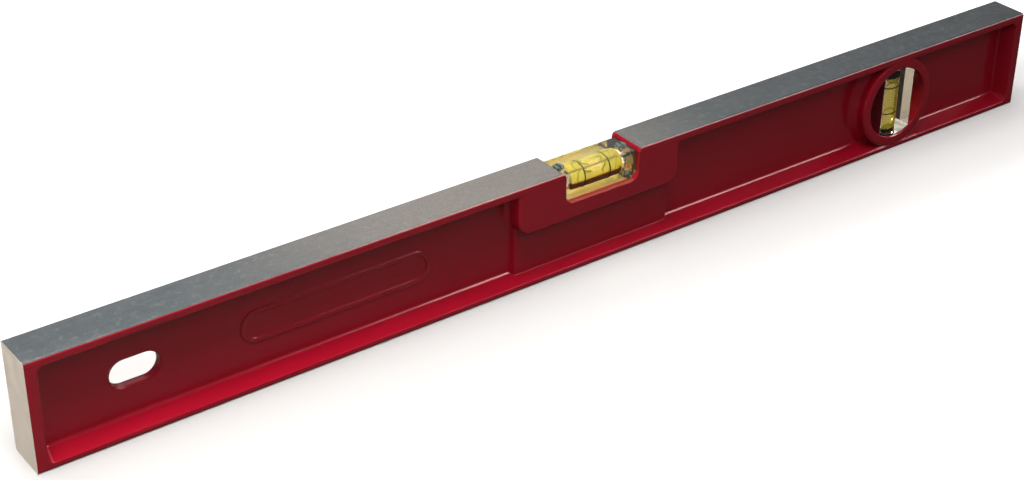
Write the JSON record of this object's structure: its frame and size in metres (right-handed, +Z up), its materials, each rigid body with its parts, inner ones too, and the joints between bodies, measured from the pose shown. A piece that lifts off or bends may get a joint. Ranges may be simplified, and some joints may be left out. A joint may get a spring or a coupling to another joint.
{
  "type": "spirit level",
  "caption": "Long cast beam with flat working faces, a clear level vial in a notch in its top face, a plumb vial in a round bore and a slot to hang it by.",
  "frame": {"origin": "middle of the bottom working face, which is the middle of the bounding box's bottom", "axes": "+X along the beam towards the plumb vial, +Y towards its back, so -Y is the front that the picture shows, +Z up"},
  "size_m": [0.6, 0.022, 0.056],
  "materials": {
    "red_paint": "gloss red enamel on the casting, bare milled metal on its top, bottom and end faces",
    "clear_plastic": "polished clear acrylic",
    "pale_plastic": "translucent moulded plug",
    "yellow_liquid": "clear yellow spirit",
    "air": "air bubble",
    "dark_ink": "black index lines",
    "dark_steel": "blued slotted screws",
    "black_plastic": "black moulded plugs"
  },
  "bodies": {
    "beam": {"body_casting": "red_paint", "level_vial_block": "clear_plastic", "level_vial_plug": "pale_plastic", "level_vial_liquid": "yellow_liquid", "level_index_rings": "dark_ink", "vial_block_screws": "dark_steel", "plumb_vial_block": "clear_plastic", "plumb_vial_plug_top": "black_plastic", "plumb_vial_plug_bottom": "black_plastic", "plumb_vial_liquid": "yellow_liquid", "plumb_index_rings": "dark_ink"},
    "level_air": {"level_bubble": "air"},
    "plumb_air": {"plumb_bubble": "air"}
  },
  "joints": [
    {"name": "level_bubble_run", "type": "slide", "parent": "beam", "child": "level_air", "axis": [1, 0, 0], "range_m": [-0.008, 0.008], "stiffness_N_per_m": 1, "deforming": ["level_vial_liquid"]},
    {"name": "plumb_bubble_rise", "type": "slide", "parent": "beam", "child": "plumb_air", "axis": [0, 0, 1], "range_m": [-0.025, 0], "stiffness_N_per_m": 2, "springref_m": 0.01, "deforming": ["plumb_vial_liquid"]}
  ]
}
